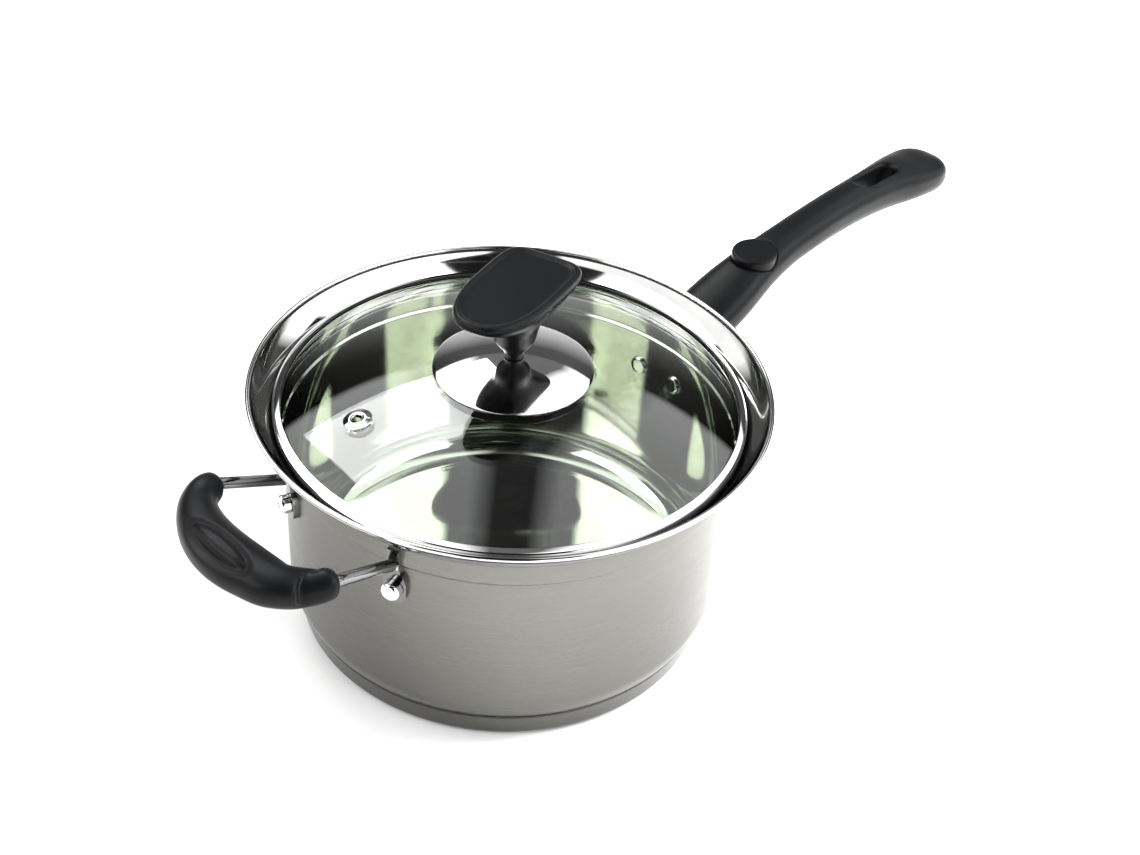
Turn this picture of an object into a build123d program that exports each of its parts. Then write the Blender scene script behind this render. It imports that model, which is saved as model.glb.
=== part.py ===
from build123d import *
import os
from math import atan2, cos, pi, radians, sin, sqrt

# Saucepan with a glass lid: a pressed steel pan on a capsule base, a long handle,
# a helper handle opposite it, and a domed glass lid with a knob and a steam vent.
# Millimetres. The origin is the centre of the base where it stands on the hob,
# +Z is up, the long handle points along +X and the helper handle along -X.

# ---- pan ----
PAN_RADIUS = 100.0          # inside radius of the straight wall
SHEET = 0.6                 # thickness of the pan's steel
RIM_Z = 121.5               # height of the pouring rim
RIM_RADIUS = 114.2          # radius of the middle of the rolled rim bead
BEAD = 1.1                  # radius of the rolled rim bead
BAND_Z = 94.3               # height of the pressed step in the wall
BAND_STEP = 1.0             # how far the wall stands out above the step
CORNER = 17.0               # radius between wall and floor, outside
BASE_HEIGHT = 6.4           # underside of the pan's floor
CAP_SHEET = 0.6             # thickness of the base cap
CAP_TOP_Z = 13.1            # upper edge of the base cap
CAP_TOP_RADIUS = 97.4
CAP_FLOOR_RADIUS = 95.9
LEDGE_ANGLE = 34.0          # slope of the flare where it leaves the wall
LIP_ANGLE = 70.0            # slope of the flare at the rim
FLARE_RADIUS = 28.0

# ---- lid ----
GLASS_TOP_Z = RIM_Z + 9.0   # crown of the glass
GLASS = 4.0                 # thickness of the glass
DOME_RADIUS = 304.0         # radius of the glass dome's upper face
GLASS_RADIUS = 103.2
RING_RADIUS = 104.5
RING_INNER = 100.7
SEAL = 0.4                  # silicone liner between glass and ring
SKIRT_RADIUS = 100.3        # skirt that centres the lid inside the pan
SKIRT_DEPTH = 5.5
VENT_RADIUS = 72.4          # distance of the steam vent from the centre
VENT_ANGLE = 163.0
KNOB_TURN = 17.0            # angle of the knob's long axis
SHIELD_RADIUS = 35.2
SHIELD_TOP_Z = RIM_Z + 13.5
KNOB_TOP_Z = RIM_Z + 50.0
SCREW = 2.0                 # radius of the knob screw
CENTRE_HOLE = 4.6           # radius of the hole in the middle of the glass

# Knob sections: height below the knob's top, reach behind, reach in front,
# half width and squareness of the front end.
KNOB_SECTIONS = [
    (37.4, 5.4, 5.4, 5.4, 2.0),
    (35.0, 4.4, 4.4, 4.4, 2.0),
    (32.4, 5.4, 5.4, 5.4, 2.0),
    (28.5, 8.6, 8.4, 8.2, 2.1),
    (24.0, 10.4, 9.8, 9.4, 2.2),
    (20.0, 11.8, 10.8, 10.2, 2.4),
    (16.5, 14.4, 12.8, 11.8, 2.7),
    (13.5, 18.2, 15.6, 13.8, 3.1),
    (10.5, 24.4, 19.8, 15.7, 3.9),
    (7.5, 31.6, 24.6, 17.5, 4.8),
    (5.0, 36.0, 27.8, 18.8, 5.2),
    (2.4, 37.8, 29.2, 19.4, 5.5),
    (0.6, 37.2, 28.8, 18.9, 5.5),
    (0.0, 36.2, 28.0, 18.0, 5.5),
]

# ---- handles ----
RIVET = 2.4                 # radius of a rivet's shank
HANDLE_RIVET_ANGLE = 6.4
HANDLE_RIVET_Z = 77.5
BADGE_X = 167.0
BADGE_RADIUS = 11.4
SLOT_X = 268.0
SLOT_LENGTH = 32.0
SLOT_WIDTH = 10.0
LUG_ANGLE = 19.8            # helper lugs, each side of -X
LUG_Z = 83.0
LUG_WIDTH = 10.8
LUG_HEIGHT = 16.0
STRAP = 5.4                 # width of the strap above the lug
ROD = 2.6                   # radius of the helper handle's rod

# Stations along the long handle: distance from the pan's axis, height above
# the rim, half width and half thickness.
HANDLE_STATIONS = [
    (111.0, -33.5, 15.2, 10.2),
    (118.0, -30.0, 15.8, 10.4),
    (132.0, -22.5, 16.1, 10.6),
    (149.0, -15.6, 15.6, 10.4),
    (165.0, -9.5, 13.6, 9.8),
    (180.0, -5.4, 11.9, 9.3),
    (197.0, -2.3, 11.0, 9.2),
    (217.0, 0.1, 11.0, 9.2),
    (240.0, 1.8, 11.2, 9.6),
    (257.0, 2.3, 11.8, 10.0),
    (272.0, 2.2, 13.0, 10.4),
    (286.0, 1.7, 14.9, 10.6),
    (298.0, 1.1, 16.4, 10.5),
    (308.0, 0.5, 16.9, 10.4),
]
HANDLE_END = 19.6           # length of the rounded end after the last station
TANG = 4.0                  # thickness of the bracket's tang
TANG_WIDTH = 15.0
PLATE = 2.2                 # thickness of the bracket's plate and of the helper straps
HANDLE_SCREW = 2.4          # radius of the screw that holds the long grip
BADGE_TILT = 5.0            # degrees between the badge's face and the horizontal
BADGE_TOP_Z = RIM_Z + 3.0
BADGE_HEIGHT = 7.8

# Half of the helper grip's centre line in plan: distance out and to the side.
GRIP_PLAN = [(128.4, 38.4), (135.6, 36.8), (142.6, 30.8), (148.4, 19.0), (151.0, 0.0)]
GRIP_Z = RIM_Z - 12.4
GRIP_RISE = 0.02
GRIP_TIP = 6.2              # half thickness of the helper grip near its ends

TOP = (Align.CENTER, Align.CENTER, Align.MAX)
BOTTOM = (Align.CENTER, Align.CENTER, Align.MIN)


def turned(points, radii):
    """Solid of revolution about Z from a closed outline of (radius, height) points."""
    outline = FilletPolyline(*[(r, 0, z) for r, z in points], radius=radii, close=True)
    return revolve(make_face(outline), Axis.Z)


def offset_corner(before, corner, after, gap):
    """The corner moved to the right of the path by the gap, mitred between its two runs."""
    runs = []
    for start, end in ((before, corner), (corner, after)):
        length = sqrt((end[0] - start[0]) ** 2 + (end[1] - start[1]) ** 2)
        runs.append(((end[0] - start[0]) / length, (end[1] - start[1]) / length))
    (ax, az), (bx, bz) = runs
    turn = ax * bz - az * bx
    share = gap / (1 + ax * bx + az * bz)
    return (corner[0] + (az + bz) * share, corner[1] - (ax + bx) * share), turn


def sheet(path, radii, thickness):
    """Closed outline and corner radii of a sheet whose left face follows the path."""
    points = list(path)
    corners = [0.0] + list(radii) + [0.0]
    outline_radii = list(corners)
    back, back_radii = [], []
    for i, corner in enumerate(points):
        before = points[i - 1] if i > 0 else corner
        after = points[i + 1] if i < len(points) - 1 else corner
        if before == corner:
            before = (2 * corner[0] - after[0], 2 * corner[1] - after[1])
        if after == corner:
            after = (2 * corner[0] - before[0], 2 * corner[1] - before[1])
        moved, turn = offset_corner(before, corner, after, thickness)
        back.append(moved)
        radius = corners[i]
        if radius > 0:
            radius += thickness if turn > 0 else -thickness
        back_radii.append(max(radius, 0.0))
    return points + back[::-1], outline_radii + back_radii[::-1]


def wall_place(angle, radius, z):
    """Location on the wall at an angle, with its own Z pointing straight out."""
    out = Vector(cos(radians(angle)), sin(radians(angle)), 0)
    side = Vector(-sin(radians(angle)), cos(radians(angle)), 0)
    return Plane(origin=out * radius + Vector(0, 0, z), x_dir=side, z_dir=out)


def shell_outline():
    """Inside face of the pan's sheet from the floor's centre to the rim, and its corner radii."""
    floor_z = BASE_HEIGHT + SHEET
    band = PAN_RADIUS + BAND_STEP
    lip_r = RIM_RADIUS - BEAD * sin(radians(LIP_ANGLE))
    lip_z = RIM_Z - BEAD - BEAD * cos(radians(LIP_ANGLE)) * 0.2
    half_turn = radians(LIP_ANGLE - LEDGE_ANGLE) / 2
    tangent = FLARE_RADIUS * (sin(half_turn) / cos(half_turn))
    bend_r = lip_r - tangent * cos(radians(LIP_ANGLE))
    bend_z = lip_z - tangent * sin(radians(LIP_ANGLE))
    ledge = radians(LEDGE_ANGLE)
    seat_z = bend_z - (bend_r - band) * sin(ledge) / cos(ledge)
    path = [
        (0.0, floor_z),
        (PAN_RADIUS, floor_z),
        (PAN_RADIUS, BAND_Z),
        (band, BAND_Z + 1.2),
        (band, seat_z),
        (bend_r, bend_z),
        (lip_r, lip_z + 0.01),
    ]
    return path, [CORNER - SHEET, 1.0, 1.2, 2.6, FLARE_RADIUS - 0.1]


def pan_body(rivet_holes):
    """The pressed pan with its flared rim, rolled bead and drilled rivet holes."""
    path, radii = shell_outline()
    shell = turned(*sheet(path, radii, SHEET))
    bead_face = Plane.XZ * Pos(RIM_RADIUS, RIM_Z - BEAD) * Circle(BEAD)
    shell += revolve(bead_face, Axis.Z)
    for hole in rivet_holes:
        shell -= hole
    return shell


def shell_filled():
    """Everything inside the pan's outside face, up to the lower wall."""
    wall = PAN_RADIUS + SHEET
    outline = [(0, BASE_HEIGHT), (wall, BASE_HEIGHT), (wall, 60), (0, 60)]
    return turned(outline, [0, CORNER, 0, 0])


def cap_filled(inset):
    """The base cap's outside form, moved in by the inset."""
    outline = [
        (0, inset),
        (CAP_FLOOR_RADIUS - inset, inset),
        (CAP_TOP_RADIUS - inset, CAP_TOP_Z),
        (0, CAP_TOP_Z),
    ]
    return turned(outline, [0, 4.0 - inset, 0, 0])


def base_cap():
    """Steel cap pressed over the core, its edge lying on the pan's corner."""
    return cap_filled(0) - cap_filled(CAP_SHEET) - shell_filled()


def base_core():
    """Aluminium heat-spreading disc between the pan's floor and the cap."""
    core_top = Pos(0, 0, CAP_TOP_Z - 2.6) * Cylinder(120, 20, align=BOTTOM)
    return cap_filled(CAP_SHEET) - shell_filled() - core_top


def rivet(place, outer_reach, inner_head, outer_head):
    """A rivet on a place whose Z points out: shank, flat dome inside and drum head outside."""
    shank = place * Pos(0, 0, outer_reach / 2 - 0.5) * Cylinder(RIVET, outer_reach + 1)
    head_r, head_h = outer_head
    drum = Cylinder(head_r, head_h, align=BOTTOM)
    drum = fillet(drum.edges().group_by(Axis.Z)[-1], head_h * 0.45)
    body = shank + place * Pos(0, 0, outer_reach) * drum
    head_r, head_h = inner_head
    dome = Cylinder(head_r, head_h, align=TOP)
    dome = place * fillet(dome.edges().group_by(Axis.Z)[0], head_h * 0.7)
    inside = Pos(0, 0, 60) * Cylinder(PAN_RADIUS, 60, align=BOTTOM)
    return body + (dome & inside)


def handle_station(index):
    """Centre, direction, half width and half thickness at a station of the long handle."""
    x, drop, width, thickness = HANDLE_STATIONS[index]
    before = HANDLE_STATIONS[max(index - 1, 0)]
    after = HANDLE_STATIONS[min(index + 1, len(HANDLE_STATIONS) - 1)]
    slope = atan2(after[1] - before[1], after[0] - before[0])
    return Vector(x, 0, RIM_Z + drop), slope, width, thickness


def oval(half_width, half_thickness, squareness, count=20):
    """Closed smooth face of a superellipse."""
    points = []
    for i in range(count):
        angle = 2 * pi * i / count
        u, v = cos(angle), sin(angle)
        x = half_width * abs(u) ** (2 / squareness) * (1 if u >= 0 else -1)
        y = half_thickness * abs(v) ** (2 / squareness) * (1 if v >= 0 else -1)
        points.append((x, y))
    return make_face(Spline(*points, periodic=True))


def handle_plane(centre, slope):
    """Plane across the long handle: its X to the side, its Y up across the handle."""
    return Plane(origin=centre, x_dir=(0, -1, 0), z_dir=(cos(slope), 0, sin(slope)))


def long_handle_solid():
    """Outside form of the long grip: ovals from the root to the rounded end."""
    sections = []
    for index in range(len(HANDLE_STATIONS)):
        centre, slope, width, thickness = handle_station(index)
        sections.append(handle_plane(centre, slope) * oval(width, thickness, 2.5))
    centre, slope, width, thickness = handle_station(len(HANDLE_STATIONS) - 1)
    along = Vector(cos(slope), 0, sin(slope))
    for share in (0.4, 0.68, 0.87, 0.97):
        size = sqrt(1 - share ** 2.2)
        place = centre + along * (HANDLE_END * share)
        oval_face = oval(width * size, thickness * (0.25 + 0.75 * size) * size ** 0.3, 2.5)
        sections.append(handle_plane(place, slope) * oval_face)
    return loft(sections)


def badge_place():
    """Plane on the badge's face, its Z out of the handle's top."""
    tilt = radians(BADGE_TILT)
    along = (cos(tilt), 0, sin(tilt))
    return Plane(origin=(BADGE_X, 0, BADGE_TOP_Z), x_dir=along, z_dir=(-sin(tilt), 0, cos(tilt)))


def tang_path():
    """Centre line of the bracket's tang from the wall to its end inside the grip."""
    return [(104.0, -38.5), (111.0, -33.8), (132.0, -22.5), (149.0, -16.5), (180.0, -6.0)]


def long_handle_bracket(rivets):
    """Steel bracket: a plate curved to the wall with a tang that enters the grip."""
    outer = PAN_RADIUS + SHEET
    low, high = HANDLE_RIVET_Z - 13.5, BAND_Z - 2.3
    plate_r = outer + PLATE
    band = turned([(outer, low), (plate_r, low), (plate_r, high), (outer, high)], [0, 0.8, 0.8, 0])
    window = Pos(outer, 0, HANDLE_RIVET_Z) * Box(30, 36, 28)
    plate = band & fillet(window.edges().filter_by(Axis.X), 6)
    points, radii = sheet([(x, RIM_Z + z + TANG / 2) for x, z in tang_path()], [3, 6, 6], TANG)
    outline = FilletPolyline(*[(x, 0, z) for x, z in points], radius=radii, close=True)
    tang = extrude(make_face(outline), TANG_WIDTH / 2, both=True)
    reach = [(outer + 1, 70), (outer + 1, 90), (104.5, 90), (111.5, 86), (108, 80), (104.5, 70)]
    gusset = extrude(make_face(Polyline(*[(x, 0, z) for x, z in reach], close=True)), 9, both=True)
    bracket = plate + tang + gusset
    keep_out = Cylinder(outer, 200, align=BOTTOM)
    bracket -= keep_out
    bracket -= badge_place() * Cylinder(HANDLE_SCREW, 60)
    return bracket - rivets


def long_handle_grip(bracket, screw, badge):
    """Black moulded grip with a hanging slot, a badge seat and a socket for the tang."""
    grip = long_handle_solid()
    slot = SlotOverall(SLOT_LENGTH, SLOT_WIDTH)
    grip -= Pos(SLOT_X, 0, RIM_Z - 30) * extrude(slot, 60)
    mouth = SlotOverall(SLOT_LENGTH + 5, SLOT_WIDTH + 5)
    grip -= Pos(SLOT_X, 0, RIM_Z + 14.0) * extrude(mouth, -4.0, taper=32)
    grip -= Pos(SLOT_X, 0, RIM_Z - 9.8) * extrude(mouth, 4.0, taper=32)
    for piece in (bracket, screw, badge):
        grip -= piece
    return grip


def long_handle_badge():
    """Plain domed button that covers the handle screw."""
    button = Cylinder(BADGE_RADIUS, BADGE_HEIGHT, align=TOP)
    return badge_place() * fillet(button.edges().group_by(Axis.Z)[-1], 1.4)


def long_handle_screw(socket_depth):
    """Screw under the badge that holds the grip on the tang, with a hexagon socket."""
    head = Cylinder(4.2, 1.8, align=TOP)
    shank = Cylinder(HANDLE_SCREW, 12.5, align=TOP)
    screw = head + shank
    if socket_depth > 0:
        screw -= Pos(0, 0, -socket_depth) * extrude(RegularPolygon(1.6, 6), socket_depth)
    return badge_place() * Pos(0, 0, -BADGE_HEIGHT) * screw


def helper_brackets(rivet_holes, pan):
    """Two upright straps on the wall, each ending below in a round lug."""
    wall = PAN_RADIUS + SHEET
    lugs = None
    for side in (-1, 1):
        angle = 180 + side * LUG_ANGLE
        place = wall_place(angle, wall - 2, LUG_Z)
        strap = SlotOverall(LUG_HEIGHT, LUG_WIDTH, rotation=90) + Pos(0, 11) * Rectangle(STRAP, 22)
        strap = place * extrude(strap, 8)
        strap = strap & lug_band()
        lugs = strap if lugs is None else lugs + strap
    for piece in rivet_holes + [pan]:
        lugs -= piece
    return lugs


def lug_band():
    """Ring-shaped layer on the wall that gives the straps their curve and thickness."""
    wall = PAN_RADIUS + SHEET
    upper = wall + BAND_STEP
    top = RIM_Z - 18
    face = wall + PLATE
    inner = [(wall, 60), (wall, BAND_Z), (upper, BAND_Z + 1.2), (upper, top)]
    outer = [(upper + 2.0, top), (upper + 2.0, BAND_Z + 1.2), (face, BAND_Z - 1.5), (face, 60)]
    return turned(inner + outer, 0)


def grip_points():
    """Points of the helper grip's centre line from its middle to its end on the +Y side."""
    return [(-x, y, GRIP_Z + (x - 150) * GRIP_RISE) for x, y in GRIP_PLAN[::-1]]


def rod_points():
    """Corners of the helper rod from one strap to the other."""
    half = grip_points() + [(-98.4, 35.2, RIM_Z - 25.0)]
    return half[:0:-1] + [(x, -y, z) for x, y, z in half]


def helper_rod():
    """One bent steel rod, welded to the straps and running through the grip."""
    points = rod_points()
    bends = [10, 7, 11, 18]
    path = FilletPolyline(*points, radius=bends + [18] + bends[::-1])
    start = Plane(origin=path @ 0, z_dir=path % 0)
    rod = sweep(start * Rot(0, 0, 45) * Circle(ROD), path=path)
    wall = PAN_RADIUS + SHEET + BAND_STEP + 2.0
    return rod - Cylinder(wall, 400)


def grip_line():
    """Centre line of the helper grip."""
    half = grip_points()
    points = half[:0:-1] + [(x, -y, z) for x, y, z in half]
    return Spline(*points, tangents=[(-1, -0.1, 0.2), (1, -0.1, -0.2)])


def helper_grip_solid():
    """Outside form of the helper grip: ovals along its bowed centre line."""
    line = grip_line()
    sections = []
    for share, swell in ((0.0, 0.55), (0.012, 0.86), (0.035, 1.0)):
        sections.append((share, GRIP_TIP * swell, GRIP_TIP * swell))
    for share in (0.11, 0.19, 0.27, 0.35, 0.43, 0.5):
        swell = sin(pi * share) ** 1.6
        sections.append((share, GRIP_TIP + 5.2 * swell, GRIP_TIP + 2.2 * swell))
    mirrored = [(1 - share, width, thickness) for share, width, thickness in sections[-2::-1]]
    faces = []
    for share, width, thickness in sections + mirrored:
        across = Vector(0, 0, 1).cross(line % share)
        plane = Plane(origin=line @ share, x_dir=across, z_dir=line % share)
        faces.append(plane * oval(width, thickness, 2.4))
    return loft(faces)


def helper_grip(rod):
    """Black moulded helper grip with an oval thumb relief on its top."""
    grip = helper_grip_solid()
    relief = Plane(origin=(-154.2, 0, GRIP_Z + 8.4), x_dir=(0, 1, 0), z_dir=(-0.34, 0, 0.94))
    dish = relief * scale(Sphere(1), (23.5, 9.2, 3.2))
    ridge = relief * Pos(0, 0, -2.8) * scale(Sphere(1), (17.0, 3.8, 2.9))
    return grip - (dish - ridge) - rod


def sphere_cap(top_z, radius):
    """Ball whose highest point is at the given height."""
    return Pos(0, 0, top_z - radius) * Sphere(radius)


def under_glass():
    """Ball whose top is the underside of the glass."""
    return sphere_cap(GLASS_TOP_Z - GLASS, DOME_RADIUS - GLASS)


def lid_glass(vent_hole):
    """Domed toughened glass with a centre hole and a vent hole."""
    disc = Pos(0, 0, RIM_Z - 20) * Cylinder(GLASS_RADIUS, 40, align=BOTTOM)
    dome = disc & (sphere_cap(GLASS_TOP_Z, DOME_RADIUS) - under_glass())
    circles = dome.edges().filter_by(GeomType.CIRCLE)
    dome = fillet([edge for edge in circles if abs(edge.radius - GLASS_RADIUS) < 0.01], 1.2)
    dome -= Pos(0, 0, RIM_Z) * Cylinder(CENTRE_HOLE, 40)
    return dome - vent_hole


def dome_z(radius):
    """Height of the glass's upper face at a distance from the centre."""
    return GLASS_TOP_Z - DOME_RADIUS + sqrt(DOME_RADIUS ** 2 - radius ** 2)


def ring_clear():
    """Form of the seal's outside: the glass edge with its liner."""
    top = dome_z(GLASS_RADIUS) + SEAL
    inner_top = dome_z(RING_INNER) + SEAL
    low = dome_z(GLASS_RADIUS) - GLASS - 0.7
    outline = [
        (RING_INNER, low),
        (GLASS_RADIUS + SEAL, low),
        (GLASS_RADIUS + SEAL, top),
        (RING_INNER, inner_top),
    ]
    return turned(outline, [0, 1.4, 1.4, 0])


def lid_ring(glass, seal):
    """Rolled steel ring round the glass, with a skirt that drops inside the pan."""
    top = dome_z(RING_INNER) + 1.0
    seat = RIM_Z - 14.1
    outline = [
        (RING_INNER, top),
        (RING_RADIUS - 0.4, top - 0.7),
        (RING_RADIUS, top - 3.0),
        (RING_RADIUS, seat + 0.6),
        (SKIRT_RADIUS + 0.1, seat),
        (SKIRT_RADIUS, seat - SKIRT_DEPTH),
        (SKIRT_RADIUS - 0.5, seat - SKIRT_DEPTH),
        (SKIRT_RADIUS - 0.5, seat + 2.0),
        (RING_INNER, seat + 3.0),
    ]
    ring = turned(outline, [0.3, 1.6, 1.2, 0.6, 0, 0, 0, 0.5, 0])
    return ring - seal - glass


def vent_place():
    """Plane on the glass at the vent, its Z square to the glass."""
    angle = radians(VENT_ANGLE)
    out = Vector(cos(angle), sin(angle), 0)
    z = dome_z(VENT_RADIUS)
    rise = z - GLASS_TOP_Z + DOME_RADIUS
    normal = out * (VENT_RADIUS / DOME_RADIUS) + Vector(0, 0, rise / DOME_RADIUS)
    side = Vector(-sin(angle), cos(angle), 0)
    return Plane(origin=out * VENT_RADIUS + Vector(0, 0, z), x_dir=side, z_dir=normal)


def vent_grommet(glass):
    """Steel eyelet flanged over both faces of the glass."""
    outline = [
        (2.3, 0.9), (3.4, 1.3), (6.3, 0.5), (6.3, -0.1), (3.9, -0.1), (3.9, -GLASS + 0.05),
        (6.0, -GLASS + 0.05), (6.0, -GLASS - 0.5), (3.0, -GLASS - 0.9), (2.3, -GLASS - 0.6),
    ]
    eyelet = turned(outline, [0.3, 0.5, 0.2, 0, 0, 0, 0, 0.2, 0.3, 0.2])
    return vent_place() * eyelet - glass


def shield_ball(inset):
    """Ball whose top is the shield's upper face, moved in by the inset."""
    rise = SHIELD_TOP_Z - dome_z(SHIELD_RADIUS) - SHEET
    radius = (SHIELD_RADIUS ** 2 + rise ** 2) / (2 * rise)
    return sphere_cap(SHIELD_TOP_Z - inset, radius - inset)


def knob_shield():
    """Polished steel dome between knob and glass."""
    disc = Pos(0, 0, RIM_Z) * Cylinder(SHIELD_RADIUS, 30, align=BOTTOM)
    dome = disc & (shield_ball(0) - shield_ball(SHEET))
    dome -= sphere_cap(GLASS_TOP_Z + 0.02, DOME_RADIUS)
    return dome - Pos(0, 0, SHIELD_TOP_Z) * Cylinder(SCREW + 0.2, 10)


def paddle(back, front, half, round_front, round_back=2.4, count=32):
    """Closed smooth face of the knob's plan: rounded behind and squarer in front."""
    points = []
    for i in range(count):
        angle = 2 * pi * i / count
        u, v = cos(angle), sin(angle)
        reach, power = (front, round_front) if u >= 0 else (back, round_back)
        share = (abs(u) ** power + abs(v) ** power) ** (-1 / power)
        points.append((reach * u * share, half * v * share))
    return make_face(Spline(*points, periodic=True))


def knob_body(insert, screw):
    """Black moulded knob: a waisted neck that opens into a flat paddle with a raised border."""
    sections = []
    for drop, back, front, half, power in KNOB_SECTIONS:
        face = paddle(back, front, half, power, 2.0 + 0.4 * min(1, max(0, (30 - drop) / 20)))
        sections.append(Pos(0, 0, KNOB_TOP_Z - drop) * Rot(0, 0, KNOB_TURN) * face)
    knob = loft(sections)
    dish = extrude(paddle(34.4, 26.0, 16.2, 5.0), 4, taper=-25)
    knob -= Pos(0, 0, KNOB_TOP_Z - 0.8) * Rot(0, 0, KNOB_TURN) * dish
    return knob - insert - screw - shield_ball(0)


def knob_insert():
    """Brass threaded insert moulded into the knob's neck."""
    barrel = Cylinder(2.9, 12, align=BOTTOM)
    barrel -= Cylinder(SCREW, 12, align=BOTTOM)
    return Pos(0, 0, SHIELD_TOP_Z + 1.0) * barrel


def knob_screw():
    """Pan-head screw from under the glass into the insert."""
    head_z = GLASS_TOP_Z - GLASS - 2.9
    shank = Cylinder(SCREW, 24, align=BOTTOM)
    head = Cylinder(4.2, 2.6, align=TOP)
    head = fillet(head.edges().group_by(Axis.Z)[0], 1.2)
    slot = Pos(0, 0, -2.2) * (Box(5.0, 1.1, 1.4) + Box(1.1, 5.0, 1.4))
    return Pos(0, 0, head_z) * (shank + head - slot)


def washer(outer, inner, height, top_z):
    """Flat ring with its upper face at the given height."""
    ring = Cylinder(outer, height, align=TOP)
    return Pos(0, 0, top_z) * (ring - Pos(0, 0, -height / 2) * Cylinder(inner, height))


def knob_upper_gasket(glass):
    """Silicone bush in the glass's centre hole, between glass and shield."""
    pad = washer(8.0, SCREW + 0.1, 5.0, SHIELD_TOP_Z) & shield_ball(SHEET)
    sleeve = washer(CENTRE_HOLE - 0.1, SCREW + 0.1, GLASS + 1.0, GLASS_TOP_Z + 0.8)
    return pad + sleeve - glass - under_glass()


def main():
    sides = (-1, 1)
    angle = HANDLE_RIVET_ANGLE
    handle_places = [wall_place(side * angle, PAN_RADIUS, HANDLE_RIVET_Z) for side in sides]
    lug_places = [wall_place(180 + side * LUG_ANGLE, PAN_RADIUS, LUG_Z) for side in sides]
    holes = [place * Cylinder(RIVET, 30) for place in handle_places]
    lug_holes = [place * Cylinder(RIVET, 30) for place in lug_places]

    parts = {}
    parts["pan_body"] = pan_body(holes + lug_holes)
    parts["base_core"] = base_core()
    parts["base_cap"] = base_cap()

    parts["long_handle_rivets"] = Compound(
        [rivet(place, 2.8, (4.5, 1.6), (4.2, 1.4)) for place in handle_places])
    parts["long_handle_bracket"] = long_handle_bracket(parts["long_handle_rivets"])
    parts["long_handle_badge"] = long_handle_badge()
    parts["long_handle_screw"] = long_handle_screw(1.3)
    parts["long_handle_grip"] = long_handle_grip(
        parts["long_handle_bracket"], long_handle_screw(0), parts["long_handle_badge"])

    parts["helper_rivets"] = Compound(
        [rivet(place, 3.0, (4.5, 1.6), (4.3, 4.4)) for place in lug_places])
    parts["helper_brackets"] = helper_brackets(lug_holes, parts["pan_body"])
    parts["helper_rod"] = helper_rod()
    parts["helper_grip"] = helper_grip(parts["helper_rod"])

    vent_hole = vent_place() * Cylinder(3.9, 20)
    parts["lid_glass"] = lid_glass(vent_hole)
    parts["lid_seal"] = ring_clear() - parts["lid_glass"]
    parts["lid_ring"] = lid_ring(parts["lid_glass"], ring_clear())
    parts["vent_grommet"] = vent_grommet(parts["lid_glass"])
    parts["knob_shield"] = knob_shield()
    parts["knob_insert"] = knob_insert()
    parts["knob_screw"] = knob_screw()
    parts["knob_upper_gasket"] = knob_upper_gasket(parts["lid_glass"])
    lower_gasket = washer(9.5, SCREW + 0.1, 2.0, GLASS_TOP_Z - GLASS + 0.3)
    parts["knob_lower_gasket"] = lower_gasket & under_glass()
    parts["knob_washer"] = washer(10.5, SCREW + 0.1, 1.2, GLASS_TOP_Z - GLASS - 1.7)
    parts["knob_body"] = knob_body(parts["knob_insert"], parts["knob_screw"])

    os.makedirs("parts", exist_ok=True)
    for name, part in parts.items():
        export_step(part, f"parts/{name}.step")


main()
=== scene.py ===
from math import atan2, ceil, cos, pi, radians, sin, sqrt

import bmesh
import bpy
from mathutils import Matrix, Vector


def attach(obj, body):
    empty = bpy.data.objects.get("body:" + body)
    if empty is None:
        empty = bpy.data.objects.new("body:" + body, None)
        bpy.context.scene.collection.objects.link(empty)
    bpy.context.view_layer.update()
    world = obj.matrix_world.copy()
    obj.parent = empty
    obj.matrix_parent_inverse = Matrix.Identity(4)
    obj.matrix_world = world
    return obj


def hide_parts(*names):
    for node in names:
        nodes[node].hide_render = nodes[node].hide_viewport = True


# Looks of the saucepan with a glass lid. Lengths in the profiles are in
# millimetres and become metres when a mesh is made.
MM = 0.001

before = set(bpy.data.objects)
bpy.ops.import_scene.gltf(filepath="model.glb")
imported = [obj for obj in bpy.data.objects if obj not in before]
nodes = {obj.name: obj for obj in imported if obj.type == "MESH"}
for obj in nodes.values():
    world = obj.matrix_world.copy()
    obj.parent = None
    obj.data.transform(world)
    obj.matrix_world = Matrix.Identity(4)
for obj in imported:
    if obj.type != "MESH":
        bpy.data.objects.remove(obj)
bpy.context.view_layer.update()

# ---- dimensions repeated from the CAD source, millimetres ----
PAN_RADIUS = 100.0
SHEET = 0.6
RIM_Z = 121.5
RIM_RADIUS = 114.2
BEAD = 1.1
BAND_Z = 94.3
BAND_STEP = 1.0
CORNER = 17.0
BASE_HEIGHT = 6.4
CAP_TOP_Z = 13.1
CAP_TOP_RADIUS = 97.4
CAP_FLOOR_RADIUS = 95.9
LEDGE_ANGLE = radians(34.0)
LIP_ANGLE = radians(70.0)
FLARE_RADIUS = 28.0
GLASS_TOP_Z = RIM_Z + 9.0
GLASS = 4.0
DOME_RADIUS = 304.0
GLASS_RADIUS = 103.2
RING_RADIUS = 104.5
RING_INNER = 100.7
SEAL = 0.4
SKIRT_RADIUS = 100.3
SKIRT_DEPTH = 5.5
VENT_RADIUS = 72.4
VENT_ANGLE = radians(163.0)
SHIELD_RADIUS = 35.2
SHIELD_TOP_Z = RIM_Z + 13.5
SCREW = 2.0
CENTRE_HOLE = 4.6
VENT_HOLE = 3.9
EYELET = 2.3                # radius of the steam passage
BADGE_X = 167.0
BADGE_TOP_Z = RIM_Z + 3.0
BADGE_TILT = radians(5.0)
BADGE_RADIUS = 11.4
BADGE_HEIGHT = 7.8
HANDLE_RIVET_ANGLE = radians(6.4)
HANDLE_RIVET_Z = 77.5
LUG_ANGLE = radians(19.8)
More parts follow.
